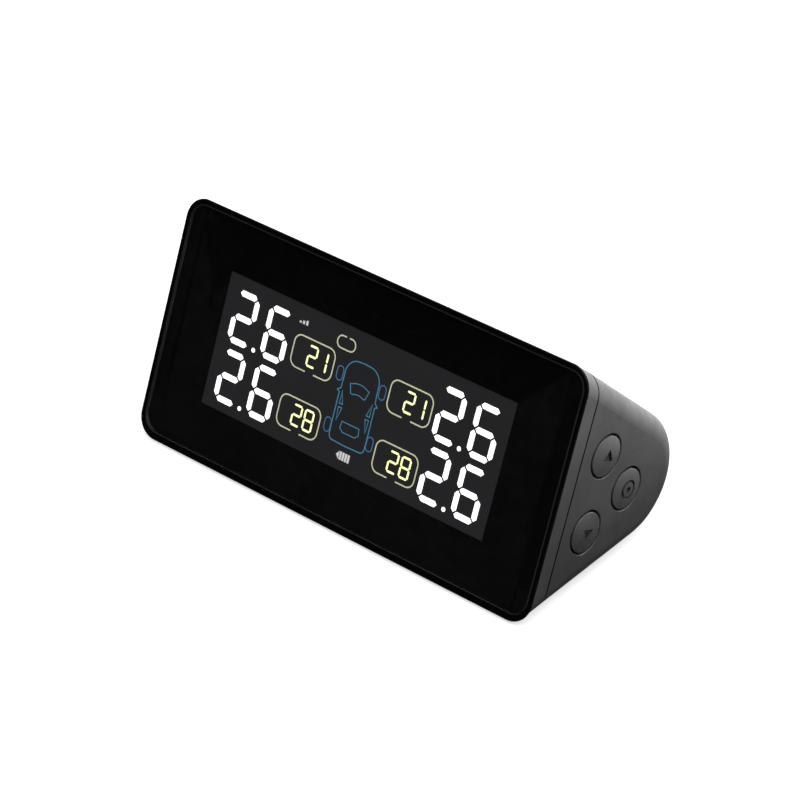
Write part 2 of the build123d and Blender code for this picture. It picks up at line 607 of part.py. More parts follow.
with BuildPart() as button_guide:
    with BuildSketch(at_side(guide_plate_in)):
        Polygon(*SWITCH_OUTLINE, align=None)
        with Locations(*BUTTONS.values()):
            Circle(STEM_R + BORE_CLEARANCE, mode=Mode.SUBTRACT)
    extrude(amount=GUIDE_PLATE_T)
    with BuildSketch(at_side(switch_board_out)):
        with Locations(*GUIDE_POSTS):
            Circle(GUIDE_FOOT_R)
    extrude(amount=guide_plate_in - switch_board_out)
    with BuildSketch(at_side(switch_board_out)):
        with Locations(*GUIDE_POSTS):
            Circle(CLEARANCE_R)
    extrude(amount=GUIDE_PLATE_OUT - switch_board_out, mode=Mode.SUBTRACT)
save(button_guide, "button_guide")

with BuildPart() as button_board:
    with BuildSketch(at_side(SWITCH_BOARD_IN)):
        Polygon(*SWITCH_OUTLINE, align=None)
        with Locations(*GUIDE_POSTS):
            Circle(CLEARANCE_R, mode=Mode.SUBTRACT)
    extrude(amount=SWITCH_BOARD_T)
save(button_board, "button_board")

with BuildPart() as tact_switch_bodies:
    with BuildSketch(at_side(switch_board_out)):
        with Locations(*BUTTONS.values()):
            Rectangle(SWITCH_SIZE, SWITCH_SIZE)
    extrude(amount=SWITCH_H)
    chamfer(tact_switch_bodies.edges().filter_by(Axis.X), SWITCH_CHAMFER)
    with BuildSketch(at_side(switch_top)):
        with Locations(*BUTTONS.values()):
            Circle(PLUNGER_R + BORE_CLEARANCE)
    well_depth = PLUNGER_LENGTH - PLUNGER_PROUD + BUTTON_TRAVEL + PLUNGER_WELL_SPARE
    extrude(amount=-well_depth, mode=Mode.SUBTRACT)
save(tact_switch_bodies, "tact_switch_bodies")

with BuildPart() as guide_screws:
    add(cross_head_screws(at_side(SWITCH_BOARD_IN), GUIDE_POSTS, GUIDE_SCREW_L))
save(guide_screws, "guide_screws")

FLANGE_T = 0.8
STEM_GAP = 0.02
RING_R, RING_W, RING_DOT_R = 1.9, 0.5, 0.6
ARROW_BASE, ARROW_SIDE = 2.9, 2.75


def button_symbol(which):
    """The mark engraved on a button, drawn on the current sketch."""
    if which == "set":
        Circle(RING_R)
        Circle(RING_R - RING_W, mode=Mode.SUBTRACT)
        Circle(RING_DOT_R)
    else:
        Triangle(a=ARROW_BASE, b=ARROW_SIDE, c=ARROW_SIDE, rotation=0 if which == "up" else 180)


cap_rim = BODY_W / 2 + RIM_PROUD
cap_top = BODY_W / 2 + BUTTON_PROUD
flange_out = SIDE_INNER - FIT
flange_in = flange_out - FLANGE_T
for which, centre in BUTTONS.items():
    with BuildPart() as cap:
        axis_plane = Plane(point(0, centre[1], centre[0]), x_dir=ACROSS, z_dir=DEPTH)
        with BuildSketch(axis_plane):
            with BuildLine():
                Polyline(
                    (cap_top, 0),
                    (plunger_tip + STEM_GAP, 0),
                    (plunger_tip + STEM_GAP, STEM_R),
                    (flange_in, STEM_R),
                    (flange_in, FLANGE_R),
                    (flange_out, FLANGE_R),
                    (flange_out, BUTTON_R),
                    (cap_rim, BUTTON_R),
                )
                dome_middle = (cap_top - (cap_top - cap_rim) / 4, BUTTON_R / 2)
                ThreePointArc((cap_rim, BUTTON_R), dome_middle, (cap_top, 0))
            make_face()
        revolve(axis=Axis(axis_plane.origin, ACROSS))
        fillet(cap.edges().filter_by(lambda edge: abs(edge.center().X - cap_rim) < SAME), RIM_EDGE_R)
        with BuildSketch(at_side(cap_top - SYMBOL_SINK)):
            with Locations(centre):
                button_symbol(which)
        extrude(amount=SYMBOL_SINK, mode=Mode.SUBTRACT)
    save(cap, f"{which}_button")

    with BuildPart() as plunger:
        with BuildSketch(at_side(plunger_tip)):
            with Locations(centre):
                Circle(PLUNGER_R)
        extrude(amount=-PLUNGER_LENGTH)
    save(plunger, f"{which}_switch_plunger")

# ---------------------------------------------------------------- battery

TAPE_MARGIN, TAPE_L = 3.0, 9.0
with BuildPart() as battery_foam_tape:
    with BuildSketch(Plane.XY.offset(floor_z)):
        with Locations((BATTERY_X, BATTERY_Y)):
            Rectangle(BATTERY_W - 2 * TAPE_MARGIN, TAPE_L)
    extrude(amount=BATTERY_TAPE_T)
save(battery_foam_tape, "battery_foam_tape")

POUCH_R, POUCH_EDGE_R = 1.5, 1.8
SEAL_REACH, SEAL_W, SEAL_T, SEAL_HEIGHT = 2.2, 11.5, 1.4, 2.2
battery_z = floor_z + BATTERY_TAPE_T
battery_left = BATTERY_X - BATTERY_W / 2
with BuildPart() as battery_pouch:
    with BuildSketch(Plane.XY.offset(battery_z)):
        with Locations((BATTERY_X, BATTERY_Y)):
            RectangleRounded(BATTERY_W, BATTERY_L, POUCH_R)
    extrude(amount=BATTERY_T)
    fillet(battery_pouch.edges().filter_by(GeomType.LINE).filter_by(Axis.X), POUCH_EDGE_R)
    with BuildSketch(Plane.XY.offset(battery_z + SEAL_HEIGHT)):
        with Locations((battery_left, BATTERY_Y)):
            Rectangle(2 * SEAL_REACH, SEAL_W)
    extrude(amount=SEAL_T)
save(battery_pouch, "battery_pouch")

WIRE_R, WIRE_EASE = 0.55, 2.2
WIRE_GAP = 0.02
TAB_SPREAD, SOCKET_SPREAD = 1.2, 1.2
WIRE_SOCKET_RISE, WIRE_SOCKET_HEIGHT = -8.5, 1.4


def wire(start, start_heading, end, end_heading):
    """A round wire swept along a smooth curve between two points and headings."""
    with BuildPart() as lead:
        with BuildLine() as run:
            headings = (start_heading, end_heading)
            Spline(start, end, tangents=headings, tangent_scalars=(WIRE_EASE, WIRE_EASE))
        with BuildSketch(Plane(run.line @ 0, z_dir=run.line % 0)):
            Circle(WIRE_R)
        sweep(path=run.line)
    return lead.part


with BuildPart() as battery_wires:
    for side in (-1, 1):
        tab_y = BATTERY_Y + TAB_SPREAD * side
        tab = Vector(battery_left - SEAL_REACH - WIRE_GAP, tab_y, battery_z + SEAL_HEIGHT + SEAL_T / 2)
        socket_x = CONNECTOR_AT[0] - SOCKET_SPREAD * side
        socket = point(socket_x, WIRE_SOCKET_RISE, BOARD_BACK + WIRE_SOCKET_HEIGHT)
        add(wire(tab, ACROSS * -1, socket, DEPTH * -1))
save(battery_wires, "battery_wires")

# ---------------------------------------------------------------- solar panel

SOLAR_TAPE_T, BACKING_T, CELL_T, RESIN_T = 0.15, 0.45, 0.2, 0.35
TAPE_SIDE, TAPE_END, TAPE_HOLE_R = 2.0, 1.5, 2.5
CELL_COUNT, CELL_GAP, CELL_MARGIN = 8, 0.6, 1.5
RESIN_EDGE_R = 0.2
SOLAR_LEAD_SPREAD, SOLAR_PAD_SPREAD, SOLAR_PADS = 0.75, 2.0, (-36.0, 4.5)
tape_out = -SOLAR_RECESS + SOLAR_TAPE_T
backing_out = tape_out + BACKING_T
cells_out = backing_out + CELL_T
resin_out = cells_out + RESIN_T

with BuildPart() as solar_tape:
    with BuildSketch(on_top(solar_depth, tape_out)):
        Rectangle(SOLAR_W - 2 * TAPE_SIDE, SOLAR_L - 2 * TAPE_END)
        with Locations(WIRE_HOLE):
            Circle(TAPE_HOLE_R, mode=Mode.SUBTRACT)
    extrude(amount=-SOLAR_TAPE_T)
save(solar_tape, "solar_tape")

with BuildPart() as solar_backing:
    with BuildSketch(on_top(solar_depth, backing_out)):
        RectangleRounded(SOLAR_W, SOLAR_L, SOLAR_R)
    extrude(amount=-BACKING_T)
save(solar_backing, "solar_backing")

cell_pitch = (SOLAR_W - 2 * CELL_MARGIN) / CELL_COUNT


def cell_outlines():
    """The row of solar cells, drawn on the current sketch."""
    with GridLocations(cell_pitch, 0, CELL_COUNT, 1):
        Rectangle(cell_pitch - CELL_GAP, SOLAR_L - 2 * CELL_MARGIN)


with BuildPart() as solar_cells:
    with BuildSketch(on_top(solar_depth, cells_out)):
        cell_outlines()
    extrude(amount=-CELL_T)
save(solar_cells, "solar_cells")

with BuildPart() as solar_resin:
    with BuildSketch(on_top(solar_depth, resin_out)):
        RectangleRounded(SOLAR_W, SOLAR_L, SOLAR_R)
    extrude(amount=-(RESIN_T + CELL_T))
    with BuildSketch(on_top(solar_depth, cells_out)):
        cell_outlines()
    extrude(amount=-CELL_T, mode=Mode.SUBTRACT)
    fillet(outermost(solar_resin, on_top(0, 0).z_dir).edges(), RESIN_EDGE_R)
save(solar_resin, "solar_resin")

with BuildPart() as solar_wires:
    under_tape = on_top(solar_depth, tape_out - SOLAR_TAPE_T)
    for side in (-1, 1):
        hole_side = Vector(WIRE_HOLE[0] + SOLAR_LEAD_SPREAD * side, WIRE_HOLE[1], 0)
        start = under_tape.from_local_coords(hole_side)
        pad = point(SOLAR_PADS[0] + SOLAR_PAD_SPREAD * side, SOLAR_PADS[1], BOARD_BACK + WIRE_GAP)
        add(wire(start, under_tape.z_dir * -1, pad, DEPTH * -1))
save(solar_wires, "solar_wires")
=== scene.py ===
"""Looks, display graphics, studio and camera for the dash-top tyre pressure display.

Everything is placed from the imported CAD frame. The panel leans back, so the display
graphics are drawn flat in millimetres (across, rise) from the middle of the display
window, then laid onto the display cell by the Panel helper.
"""

import json
from math import atan2, cos, pi, radians, sin

import bmesh
import bpy
from mathutils import Matrix, Vector


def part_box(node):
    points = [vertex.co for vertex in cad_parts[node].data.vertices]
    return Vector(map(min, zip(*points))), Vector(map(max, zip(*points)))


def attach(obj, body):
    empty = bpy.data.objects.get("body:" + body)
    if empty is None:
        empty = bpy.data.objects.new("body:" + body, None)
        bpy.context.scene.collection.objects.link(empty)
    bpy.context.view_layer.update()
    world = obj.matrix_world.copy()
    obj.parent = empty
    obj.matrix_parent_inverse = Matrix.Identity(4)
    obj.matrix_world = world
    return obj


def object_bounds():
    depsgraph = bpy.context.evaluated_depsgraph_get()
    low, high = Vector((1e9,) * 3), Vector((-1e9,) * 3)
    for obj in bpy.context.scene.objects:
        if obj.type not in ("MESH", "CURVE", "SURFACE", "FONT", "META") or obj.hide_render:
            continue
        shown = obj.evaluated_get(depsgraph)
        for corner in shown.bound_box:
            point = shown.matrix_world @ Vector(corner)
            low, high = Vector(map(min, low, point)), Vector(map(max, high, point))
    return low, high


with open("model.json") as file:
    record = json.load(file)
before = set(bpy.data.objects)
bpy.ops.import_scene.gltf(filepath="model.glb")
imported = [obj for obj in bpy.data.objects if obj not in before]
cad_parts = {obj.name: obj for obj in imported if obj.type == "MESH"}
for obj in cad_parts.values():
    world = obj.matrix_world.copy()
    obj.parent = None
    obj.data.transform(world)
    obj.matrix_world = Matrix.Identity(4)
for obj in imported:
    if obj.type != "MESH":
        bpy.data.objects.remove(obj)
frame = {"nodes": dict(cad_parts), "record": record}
cad_low, cad_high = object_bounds()

MM = 0.001
CASE = "case"


# ------------------------------------------------------------------ panel frame

class Panel:
    """The display's leaning plane, read from the flat front face of a CAD sheet."""

    def __init__(self, node):
        mesh = frame["nodes"][node].data
        front = max(mesh.polygons, key=lambda face: face.area * (face.normal.y < -0.5))
        self.out = front.normal.normalized()
        self.across = Vector((1, 0, 0))
        self.rise = self.out.cross(self.across)
        self.depth_of_front = max(vertex.co.dot(self.out) for vertex in mesh.vertices)
        low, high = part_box(node)
        middle = (Vector(low) + Vector(high)) / 2
        self.origin = middle + self.out * (self.depth_of_front - middle.dot(self.out))

    def point(self, across, rise, lift=0.0):
        """A point given in millimetres, lifted off the sheet's front face."""
        return self.origin + (self.across * across + self.rise * rise + self.out * lift) * MM


cover = Panel("front_cover")
cell = Panel("lcd_front_polariser")
GRAPHICS_ACROSS, GRAPHICS_RISE = -0.66, -0.37


# ------------------------------------------------------------------ material tools

class Material:
    """A Principled material with short helpers for wiring procedural detail."""

    def __init__(self, name):
        self.block = bpy.data.materials.new(name)
        self.block.use_nodes = True
        self.nodes = self.block.node_tree.nodes
        self.links = self.block.node_tree.links
        self.shader = self.nodes["Principled BSDF"]
        self.output = self.nodes["Material Output"]
        self.place = self.nodes.new("ShaderNodeTexCoord").outputs["Object"]

    def link(self, source, target):
        self.links.new(source, target)

    def set(self, **values):
        for name, value in values.items():
            self.shader.inputs[name.replace("_", " ")].default_value = value

    def node(self, kind, **settings):
        made = self.nodes.new(kind)
        for name, value in settings.items():
            setattr(made, name, value)
        return made

    def stretched(self, scale):
        """Object coordinates stretched by a vector, for brushed or banded detail."""
        mapping = self.node("ShaderNodeMapping")
        mapping.inputs["Scale"].default_value = scale
        self.link(self.place, mapping.inputs["Vector"])
        return mapping.outputs["Vector"]

    def noise(self, size_mm, detail=3.0, roughness=0.55, place=None):
        """Cloudy values from 0 to 1 with features about size_mm across."""
        made = self.node("ShaderNodeTexNoise")
        made.inputs["Scale"].default_value = 1.0 / (size_mm * MM)
        made.inputs["Detail"].default_value = detail
        made.inputs["Roughness"].default_value = roughness
        self.link(place or self.place, made.inputs["Vector"])
        return made.outputs["Fac"]

    def cells(self, size_mm):
        """Distance to the middle of the nearest of many cells about size_mm across."""
        made = self.node("ShaderNodeTexVoronoi", feature="F1")
        made.inputs["Scale"].default_value = 1.0 / (size_mm * MM)
        self.link(self.place, made.inputs["Vector"])
        return made.outputs["Distance"]

    def math(self, operation, a, b=0.0, clamp=False):
        made = self.node("ShaderNodeMath", operation=operation, use_clamp=clamp)
        for socket, value in zip(made.inputs, (a, b)):
            if isinstance(value, (int, float)):
                socket.default_value = value
            else:
                self.link(value, socket)
        return made.outputs["Value"]

    def along(self, direction):
        """Distance in metres of each shaded point along a direction."""
        made = self.node("ShaderNodeVectorMath", operation="DOT_PRODUCT")
        made.inputs[1].default_value = direction
        self.link(self.place, made.inputs[0])
        return made.outputs["Value"]

    def band(self, value, low, high, to_low=0.0, to_high=1.0):
        """value mapped from low..high to to_low..to_high, held at both ends."""
        made = self.node("ShaderNodeMapRange", interpolation_type="SMOOTHSTEP")
        ends = {"From Min": low, "From Max": high, "To Min": to_low, "To Max": to_high}
        for name, number in ends.items():
            made.inputs[name].default_value = number
        self.link(value, made.inputs["Value"])
        return made.outputs["Result"]

    def mix(self, factor, first, second):
        """A colour between first and second, each an (r, g, b) or a socket."""
        made = self.node("ShaderNodeMix", data_type="RGBA")
        self.link(factor, made.inputs["Factor"])
        for socket, value in ((made.inputs["A"], first), (made.inputs["B"], second)):
            if isinstance(value, tuple):
                socket.default_value = (*value, 1.0)
            else:
                self.link(value, socket)
        return made.outputs["Result"]

    def colour(self, socket):
        self.link(socket, self.shader.inputs["Base Color"])

    def roughness(self, socket):
        self.link(socket, self.shader.inputs["Roughness"])

    def bump(self, height, depth_mm):
        made = self.node("ShaderNodeBump")
        made.inputs["Strength"].default_value = 1.0
        made.inputs["Distance"].default_value = depth_mm * MM
        self.link(height, made.inputs["Height"])
        self.link(made.outputs["Normal"], self.shader.inputs["Normal"])

    def facing(self, direction):
        """How squarely each flat face looks along a direction: 1 is head on."""
        made = self.node("ShaderNodeVectorMath", operation="DOT_PRODUCT")
        made.inputs[1].default_value = direction
        self.link(self.node("ShaderNodeNewGeometry").outputs["True Normal"], made.inputs[0])
        return made.outputs["Value"]

    def wired(self, socket_name):
        """What feeds one of the shader's inputs now."""
        return self.shader.inputs[socket_name].links[0].from_socket

    def blend(self, factor, first, second):
        """Sends a mix of two shader sockets to the material's surface."""
        made = self.node("ShaderNodeMixShader")
        self.link(factor, made.inputs["Fac"])
        self.link(first, made.inputs[1])
        self.link(second, made.inputs[2])
        self.link(made.outputs["Shader"], self.output.inputs["Surface"])


def moulded(name, dark, light, rough, grain_mm=0.18, grain_depth=0.012):
    """Moulded plastic: fine spark-eroded grain, soft blotches and uneven gloss."""
    mat = Material(name)
    mat.colour(mat.mix(mat.band(mat.noise(9.0), 0.3, 0.7), dark, light))
    mat.roughness(mat.band(mat.noise(2.4, 4.0), 0.25, 0.75, rough - 0.06, rough + 0.07))
    waviness = mat.math("MULTIPLY", mat.noise(1.1, 2.0), 0.5)
    mat.bump(mat.math("ADD", mat.noise(grain_mm, 2.0), waviness), grain_depth)
    return mat


def metal(name, dark, light, rough, brush=(1.0, 1.0, 1.0)):
    """Bare metal: fine streaks along the brushing under clouds of tarnish."""
    mat = Material(name)
    mat.set(Metallic=1.0)
    streaks = mat.noise(0.3, 4.0, place=mat.stretched(brush))
    mat.colour(mat.mix(mat.band(mat.noise(3.0), 0.3, 0.75), dark, light))
    mat.roughness(mat.band(streaks, 0.3, 0.7, rough - 0.08, rough + 0.12))
    mat.bump(streaks, 0.006)
    return mat


def pane(name, tint, ior, rough_low, rough_high):
    """A thin clear sheet: see-through head on, mirroring more at a glancing angle."""
    mat = Material(name)
    mat.nodes.remove(mat.shader)
    clear = mat.node("ShaderNodeBsdfTransparent")
    clear.inputs["Color"].default_value = (*tint, 1.0)
    gloss = mat.node("ShaderNodeBsdfGlossy")
    smudge = mat.band(mat.noise(14.0, 5.0), 0.35, 0.75, rough_low, rough_high)
    mat.link(smudge, gloss.inputs["Roughness"])
    fresnel = mat.node("ShaderNodeFresnel")
    fresnel.inputs["IOR"].default_value = ior
    outside = mat.math("SUBTRACT", 1.0, mat.node("ShaderNodeNewGeometry").outputs["Backfacing"])
    glint = mat.math("MULTIPLY", fresnel.outputs["Fac"], outside)
    mat.blend(glint, clear.outputs["BSDF"], gloss.outputs["BSDF"])
    return mat


# ------------------------------------------------------------------ case materials

SEAM_BEHIND_COVER = 4.0  # millimetres from the cover's front to the middle of the case seam
# Half-width in millimetres of the painted shade along the case seam, and the share of it at full
# strength.
SEAM_SHADE_W = 0.24
SEAM_SHADE_SOLID = 0.9
# Depth of the lip's front, which is polished and also carries painted shade.
LIP_POLISH_AND_SHADE_DEPTH = 0.15
FADE = 0.02
# Depth below the cap's top past which the flat floors of the engraved marks get painted shade.
MARK_SHADE_DEPTH = 0.3


def case_plastic():
    """Satin black, with painted shade darkening the seam behind the front bezel."""
    mat = moulded("case satin black", (0.028, 0.028, 0.029), (0.042, 0.042, 0.044), 0.46)
    satin = mat.wired("Base Color")
    seam = cover.depth_of_front - SEAM_BEHIND_COVER * MM
    from_seam = mat.math("ABSOLUTE", mat.math("SUBTRACT", mat.along(cover.out), seam))
    # Painted shade: a near-black band with weaker reflection runs along the seam, wider than the real
    # gap, standing in for the shade inside it.
    seam_shade = mat.band(from_seam, SEAM_SHADE_W * SEAM_SHADE_SOLID * MM, SEAM_SHADE_W * MM, 1.0, 0.0)
    mat.colour(mat.mix(seam_shade, satin, (0.001, 0.001, 0.001)))
    mat.link(mat.band(seam_shade, 0.0, 1.0, 0.5, 0.05), mat.shader.inputs["Specular IOR Level"])
    return mat


def bezel_plastic():
    """Satin like the case on its skirt; the lip is polished, and painted near black with its reflection
    cut as painted shade.
    """
    mat = moulded("bezel black", (0.03, 0.03, 0.031), (0.045, 0.045, 0.047), 0.44)
    lip_back = cover.depth_of_front - LIP_POLISH_AND_SHADE_DEPTH * MM
    height = mat.along(cover.out)
    ends = (lip_back - FADE * MM, lip_back + FADE * MM)
    satin = mat.wired("Base Color")
    # Painted shade: in front of the lip's back the colour is near black and the reflection is cut,
    # standing in for the shade on the front-facing lip; the halved roughness is a real polish.
    mat.colour(mat.mix(mat.band(height, *ends), satin, (0.0016, 0.0016, 0.0018)))
    polish = mat.band(height, *ends, 1.0, 0.5)
    mat.roughness(mat.math("MULTIPLY", mat.wired("Roughness"), polish))
    mat.link(mat.band(height, *ends, 0.5, 0.06), mat.shader.inputs["Specular IOR Level"])
    return mat


def cover_acrylic():
    """Clear gloss sheet whose bevelled cut edge is matt and catches the light."""
    mat = pane("cover acrylic", (0.985, 0.985, 0.985), 1.49, 0.015, 0.06)
    clear = mat.output.inputs["Surface"].links[0].from_socket
    facing = mat.facing(cover.out)
    slanted = mat.band(facing, 0.3, 0.4)
    not_front = mat.band(facing, 0.9, 0.97, 1.0, 0.0)
    matt = mat.node("ShaderNodeBsdfDiffuse")
    speckle = mat.mix(mat.noise(0.6), (0.02, 0.02, 0.0205), (0.03, 0.03, 0.0305))
    mat.link(speckle, matt.inputs["Color"])
    mat.blend(mat.math("MULTIPLY", slanted, not_front), clear, matt.outputs["BSDF"])
    return mat


def button_plastic():
    """Satin caps with painted shade on the floor of the engraved marks."""
    dark, light = (0.036, 0.036, 0.038), (0.052, 0.052, 0.054)
    mat = moulded("button satin", dark, light, 0.27, grain_depth=0.006)
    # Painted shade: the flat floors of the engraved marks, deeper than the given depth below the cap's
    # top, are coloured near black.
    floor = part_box("up_button")[1][0] - MARK_SHADE_DEPTH * MM
    deep = mat.band(mat.along((1, 0, 0)), floor, floor + FADE * MM, 1.0, 0.0)
    flat = mat.band(mat.facing((1, 0, 0)), 0.9985, 0.9995)
    mark_shade = mat.math("MULTIPLY", deep, flat)
    satin = mat.wired("Base Color")
    mat.colour(mat.mix(mark_shade, satin, (0.002, 0.002, 0.002)))
    return mat


def mask_ink():
    """Deep black print behind the cover."""
    dark, light = (0.0012, 0.0012, 0.0014), (0.0022, 0.0022, 0.0024)
    mat = moulded("mask ink", dark, light, 0.4, grain_depth=0.004)
    mat.set(Specular_IOR_Level=0.2)
    return mat


def pad_rubber():
    """Silicone foot: a close field of moulded pips, paler with dust between them."""
    mat = Material("pad silicone")
    pips = mat.cells(1.6)
    mat.colour(mat.mix(mat.band(pips, 0.2, 0.7), (0.02, 0.02, 0.021), (0.05, 0.049, 0.047)))
    mat.roughness(mat.band(mat.noise(1.5), 0.2, 0.8, 0.62, 0.82))
    skin = mat.math("MULTIPLY", mat.noise(0.2), 0.1)
    mat.bump(mat.math("SUBTRACT", mat.band(pips, 0.15, 0.55, 1.0, 0.0), skin), 0.15)
    return mat


# ------------------------------------------------------------------ display materials

def polariser_film():
    """Dark film with the faint even glow of the backlight through it."""
    mat = Material("polariser film")
    cloud = mat.band(mat.noise(18.0, 2.0), 0.3, 0.7)
    mat.colour(mat.mix(cloud, (0.004, 0.004, 0.004), (0.006, 0.006, 0.0065)))
    mat.roughness(mat.band(mat.noise(0.4), 0.3, 0.7, 0.5, 0.6))
    mat.bump(mat.noise(0.15), 0.002)
    mat.set(Emission_Color=(0.92, 0.93, 1.0, 1.0), Emission_Strength=0.0152, Specular_IOR_Level=0.1)
    return mat


def lit_segment(name, colour, strength, shade):
    """Backlit colour filter with a fine dot print that darkens in soft patches."""
    mat = Material(name)
    dots = mat.band(mat.cells(0.12), 0.1, 0.5)
    patches = mat.band(mat.noise(5.0), 0.35, 0.65)
    low = tuple(channel * shade for channel in colour)
    mat.colour(mat.mix(mat.math("MULTIPLY", dots, patches, clamp=True), colour, low))
    mat.roughness(mat.band(mat.noise(0.5), 0.3, 0.7, 0.45, 0.6))
    mat.set(Emission_Color=(*colour, 1.0), Emission_Strength=strength, Specular_IOR_Level=0.1)
    return mat


def cell_glass():
    """Float glass of the display cell, faintly green."""
    return pane("cell glass", (0.93, 0.97, 0.95), 1.52, 0.01, 0.05)


def light_guide_plastic():
    """Frosted guide covered in small dots that scatter the light."""
    mat = moulded("light guide", (0.78, 0.8, 0.82), (0.86, 0.88, 0.9), 0.3)
    mat.bump(mat.band(mat.cells(0.9), 0.1, 0.3, 1.0, 0.0), 0.04)
    mat.set(Transmission_Weight=0.45, IOR=1.49)
    return mat


# ------------------------------------------------------------------ electronics materials

def solder_mask():
    """Green board: copper runs under the resist and fine speckle of the glass weave."""
    mat = Material("solder mask")
    runs = mat.node("ShaderNodeTexBrick", offset=0.5, squash=1.0)
    pattern = {
        "Scale": 240.0,
        "Mortar Size": 0.03,
        "Mortar Smooth": 0.2,
        "Brick Width": 1.1,
        "Row Height": 0.3,
    }
    for name, value in pattern.items():
        runs.inputs[name].default_value = value
    mat.link(mat.place, runs.inputs["Vector"])
    weave = mat.noise(0.5, 2.0)
    resist = mat.mix(weave, (0.008, 0.06, 0.028), (0.014, 0.09, 0.04))
    mat.colour(mat.mix(runs.outputs["Fac"], resist, (0.03, 0.17, 0.07)))
    mat.roughness(mat.band(mat.noise(2.0), 0.3, 0.7, 0.25, 0.4))
    mat.bump(mat.math("ADD", runs.outputs["Fac"], mat.math("MULTIPLY", weave, 0.2)), 0.03)
    mat.set(Coat_Weight=0.4, Coat_Roughness=0.2)
    return mat


def pouch_foil():
    """Laminated foil with soft crinkles."""
    mat = Material("pouch foil")
    crinkle = mat.noise(5.0, 5.0, 0.6)
    mat.set(Metallic=0.9)
    mat.colour(mat.mix(mat.band(crinkle, 0.35, 0.65), (0.55, 0.56, 0.58), (0.72, 0.73, 0.75)))
    mat.roughness(mat.band(mat.noise(1.5, 3.0), 0.3, 0.7, 0.28, 0.42))
    mat.bump(crinkle, 0.25)
    return mat


def foam_tape():
    """Black open-cell foam."""
    mat = Material("foam tape")
    pores = mat.cells(0.35)
    mat.colour(mat.mix(mat.band(pores, 0.1, 0.6), (0.02, 0.02, 0.02), (0.07, 0.07, 0.07)))
    mat.roughness(mat.band(mat.noise(0.8), 0.2, 0.8, 0.8, 0.95))
    mat.bump(pores, 0.15)
    return mat


def white_film(name):
    """White plastic film with a faint mottle."""
    mat = Material(name)
    mat.colour(mat.mix(mat.band(mat.noise(6.0), 0.3, 0.7), (0.74, 0.74, 0.72), (0.84, 0.84, 0.83)))
    mat.roughness(mat.band(mat.noise(1.0), 0.3, 0.7, 0.4, 0.55))
    mat.bump(mat.noise(0.3), 0.01)
    return mat


CONTACT_LAYER = 0.4


def contact_rubber():
    """Elastomeric strip: thin dark conductive layers across a pale silicone bar."""
    mat = Material("contact rubber")
    place = mat.math("MULTIPLY", mat.along((1, 0, 0)), 1.0 / (CONTACT_LAYER * MM))
    layers = mat.band(mat.math("PINGPONG", place, 1.0), 0.35, 0.65)
    mat.colour(mat.mix(layers, (0.05, 0.05, 0.05), (0.55, 0.5, 0.42)))
    mat.roughness(mat.band(mat.noise(0.7), 0.3, 0.7, 0.55, 0.75))
    mat.bump(layers, 0.02)
    return mat


def wire_sleeve():
    """Red PVC sleeve with a slightly uneven skin."""
    mat = Material("wire sleeve")
    patches = mat.band(mat.noise(2.5), 0.3, 0.7)
    mat.colour(mat.mix(patches, (0.38, 0.015, 0.012), (0.52, 0.03, 0.02)))
    mat.roughness(mat.band(mat.noise(0.6), 0.3, 0.7, 0.32, 0.5))
    mat.bump(mat.noise(0.25), 0.02)
    return mat


# ------------------------------------------------------------------ solar materials

FINGER_PITCH, FINGER_W = 1.6, 0.12
BAR_PITCH, BAR_W = 4.69, 0.5


def along_slope():
    """The direction that runs up the slope of the solar panel, square to X."""
    mesh = frame["nodes"]["solar_resin"].data
    top = max(mesh.polygons, key=lambda face: face.area * (face.normal.z > 0.3) * (face.normal.y > 0.1))
    return Vector((1, 0, 0)).cross(top.normal)


def stripes(mat, direction, pitch_mm, width_mm):
    """1 on thin lines that repeat along a direction, 0 between them."""
    place = mat.math("MULTIPLY", mat.along(direction), 1.0 / (pitch_mm * MM))
    share = width_mm / pitch_mm
    return mat.band(mat.math("PINGPONG", place, 0.5), share * 0.4, share * 0.7, 1.0, 0.0)


def solar_silicon():
    """Blue-black cells with fine printed fingers and bars across them."""
    mat = Material("solar silicon")
    crystal = mat.band(mat.cells(4.0), 0.1, 0.9)
    silicon = mat.mix(crystal, (0.006, 0.010, 0.035), (0.012, 0.02, 0.07))
    fingers = stripes(mat, along_slope(), FINGER_PITCH, FINGER_W)
    bars = stripes(mat, (1, 0, 0), BAR_PITCH, BAR_W)
    print_mask = mat.math("MAXIMUM", fingers, bars)
    mat.colour(mat.mix(print_mask, silicon, (0.42, 0.42, 0.43)))
    mat.roughness(mat.band(mat.noise(1.0), 0.3, 0.7, 0.3, 0.42))
    mat.bump(print_mask, 0.02)
    return mat


def resin():
    """Clear potting over the cells, softly frosted."""
    return pane("solar resin", (0.97, 0.98, 0.985), 1.5, 0.04, 0.14)


# ------------------------------------------------------------------ hand out the materials

def dress(materials):
    """Gives every CAD node the material that its slot names."""
    slots = {part["node"]: part["material_slot"] for part in frame["record"]["subparts"]}
    for node, obj in frame["nodes"].items():
        finish = materials[slots[node]].block
        for place in obj.material_slots:
            place.material = finish


